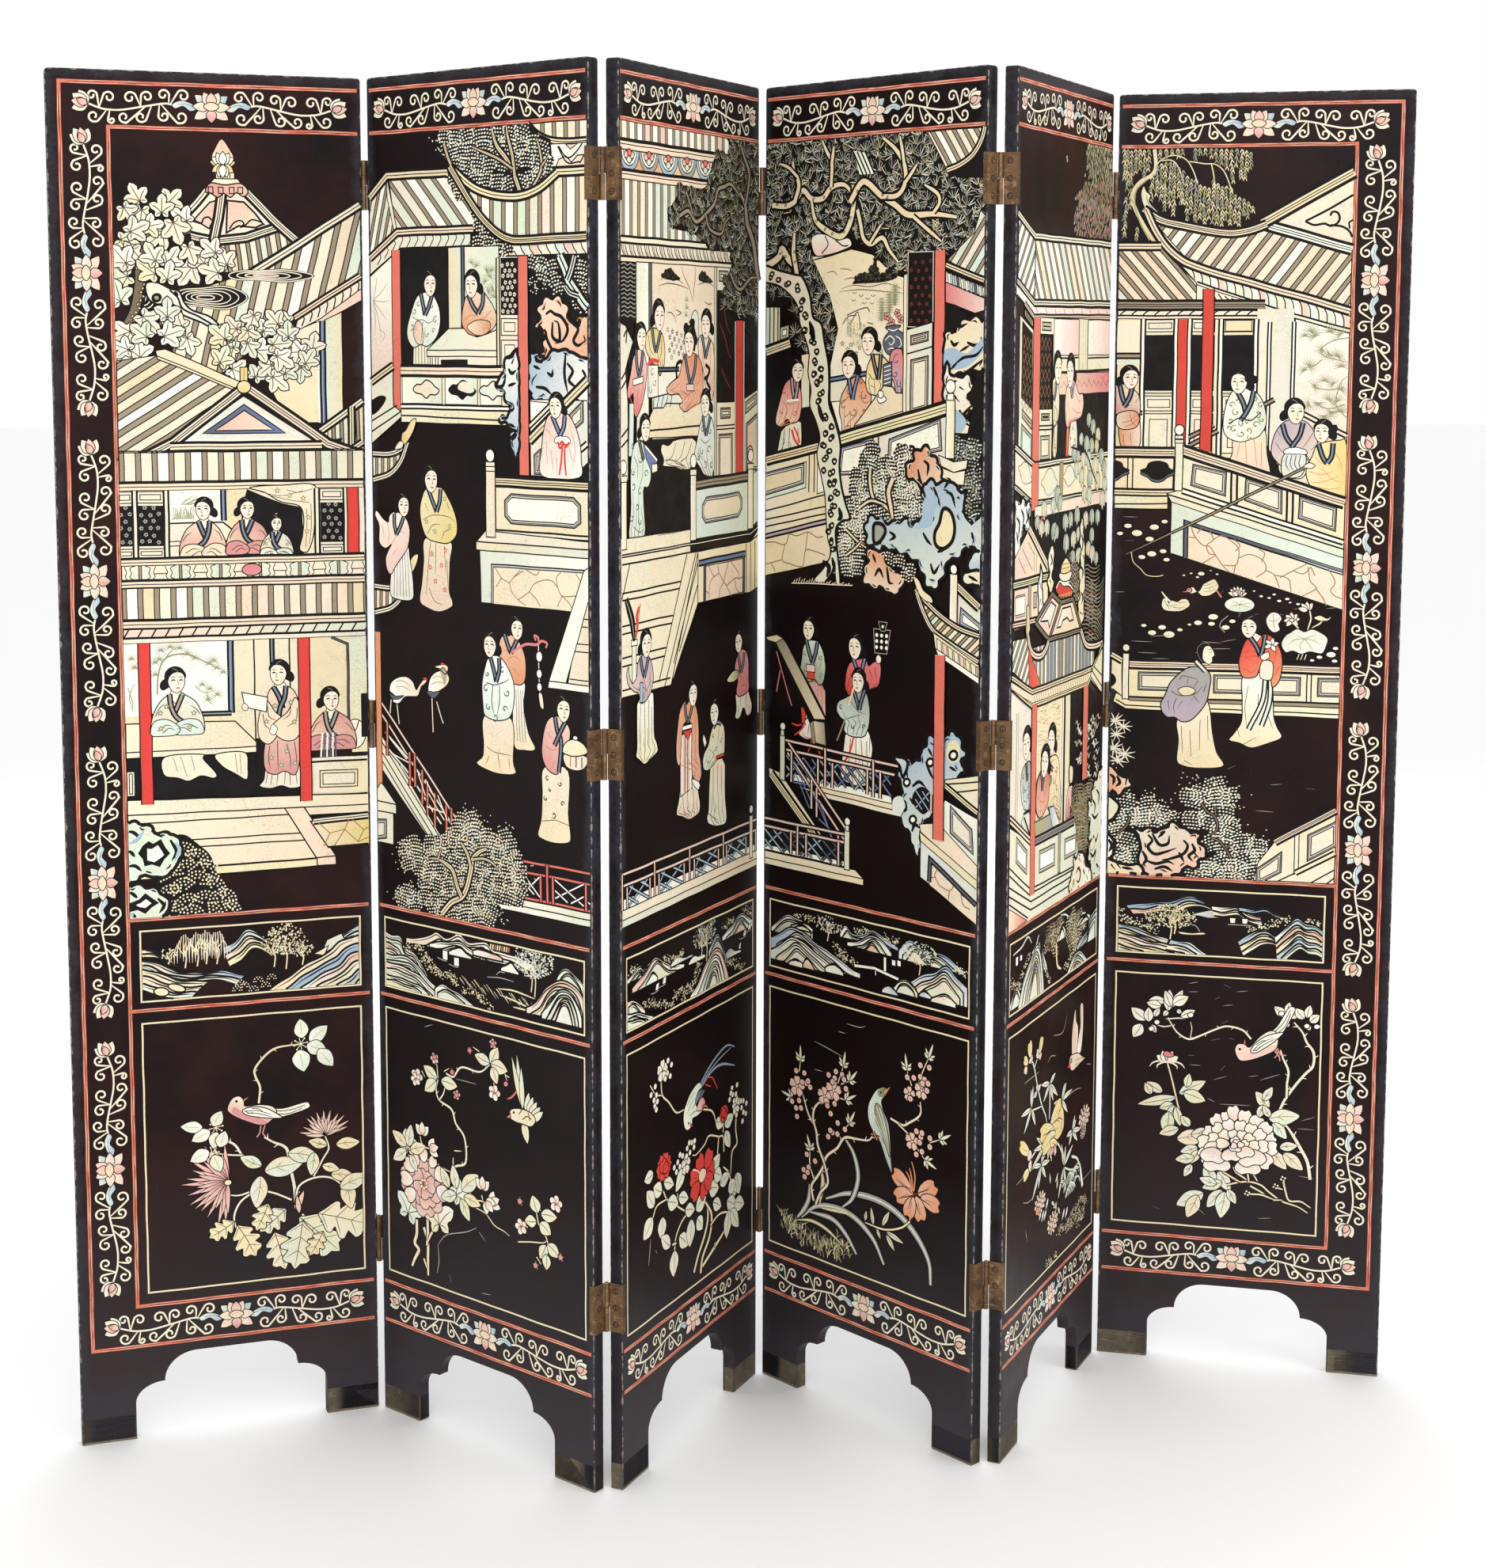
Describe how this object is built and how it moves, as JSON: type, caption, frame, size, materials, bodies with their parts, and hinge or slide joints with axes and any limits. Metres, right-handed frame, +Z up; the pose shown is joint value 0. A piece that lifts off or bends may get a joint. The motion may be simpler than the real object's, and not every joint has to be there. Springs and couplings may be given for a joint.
{
  "type": "folding lacquer screen",
  "caption": "Free-standing folding room screen of black lacquer panels with painted relief, bracket feet in brass shoes and brass lift-off hinges.",
  "frame": {"origin": "on the floor, under the middle of the bounding box of the screen standing in its zigzag", "axes": "+Z up, decorated fronts towards -Y, panels in a row along +X from the viewer's left to right"},
  "size_m": [1.831, 0.3678, 1.83],
  "materials": {
    "black_lacquer": "aged polished black lacquer over wood, warm brown where rubbed",
    "hinge_brass": "tarnished coppery brass, rubbed bright on edges",
    "shoe_brass": "dull dark brass sheet, scratched"
  },
  "bodies": {
    "first_panel": {"panel_1": "black_lacquer", "panel_1_left_shoe": "shoe_brass", "panel_1_right_shoe": "shoe_brass", "panel_1_lower_pintle_leaf": "hinge_brass", "panel_1_middle_pintle_leaf": "hinge_brass", "panel_1_upper_pintle_leaf": "hinge_brass"},
    "second_panel": {"panel_2": "black_lacquer", "panel_2_left_shoe": "shoe_brass", "panel_2_right_shoe": "shoe_brass", "panel_2_lower_socket_leaf": "hinge_brass", "panel_2_lower_pintle_leaf": "hinge_brass", "panel_2_middle_socket_leaf": "hinge_brass", "panel_2_middle_pintle_leaf": "hinge_brass", "panel_2_upper_socket_leaf": "hinge_brass", "panel_2_upper_pintle_leaf": "hinge_brass"},
    "third_panel": {"panel_3": "black_lacquer", "panel_3_left_shoe": "shoe_brass", "panel_3_right_shoe": "shoe_brass", "panel_3_lower_socket_leaf": "hinge_brass", "panel_3_lower_pintle_leaf": "hinge_brass", "panel_3_middle_socket_leaf": "hinge_brass", "panel_3_middle_pintle_leaf": "hinge_brass", "panel_3_upper_socket_leaf": "hinge_brass", "panel_3_upper_pintle_leaf": "hinge_brass"},
    "fourth_panel": {"panel_4": "black_lacquer", "panel_4_left_shoe": "shoe_brass", "panel_4_right_shoe": "shoe_brass", "panel_4_lower_socket_leaf": "hinge_brass", "panel_4_lower_pintle_leaf": "hinge_brass", "panel_4_middle_socket_leaf": "hinge_brass", "panel_4_middle_pintle_leaf": "hinge_brass", "panel_4_upper_socket_leaf": "hinge_brass", "panel_4_upper_pintle_leaf": "hinge_brass"},
    "fifth_panel": {"panel_5": "black_lacquer", "panel_5_left_shoe": "shoe_brass", "panel_5_right_shoe": "shoe_brass", "panel_5_lower_socket_leaf": "hinge_brass", "panel_5_lower_pintle_leaf": "hinge_brass", "panel_5_middle_socket_leaf": "hinge_brass", "panel_5_middle_pintle_leaf": "hinge_brass", "panel_5_upper_socket_leaf": "hinge_brass", "panel_5_upper_pintle_leaf": "hinge_brass"},
    "sixth_panel": {"panel_6": "black_lacquer", "panel_6_left_shoe": "shoe_brass", "panel_6_right_shoe": "shoe_brass", "panel_6_lower_socket_leaf": "hinge_brass", "panel_6_middle_socket_leaf": "hinge_brass", "panel_6_upper_socket_leaf": "hinge_brass"}
  },
  "joints": [
    {"name": "fold_1_2", "type": "hinge", "parent": "first_panel", "child": "second_panel", "pos_m": [-0.5135, 0.11529, 0], "axis": [0, 0, -1], "range_deg": [-58, 122]},
    {"name": "fold_2_3", "type": "hinge", "parent": "second_panel", "child": "third_panel", "pos_m": [-0.22056, -0.1695, 0], "axis": [0, 0, 1], "range_deg": [-104, 76]},
    {"name": "fold_3_4", "type": "hinge", "parent": "third_panel", "child": "fourth_panel", "pos_m": [0.02651, 0.1559, 0], "axis": [0, 0, -1], "range_deg": [-111, 69]},
    {"name": "fold_4_5", "type": "hinge", "parent": "fourth_panel", "child": "fifth_panel", "pos_m": [0.28256, -0.16248, 0], "axis": [0, 0, 1], "range_deg": [-111, 69]},
    {"name": "fold_5_6", "type": "hinge", "parent": "fifth_panel", "child": "sixth_panel", "pos_m": [0.52962, 0.16292, 0], "axis": [0, 0, -1], "range_deg": [-77, 103]}
  ]
}
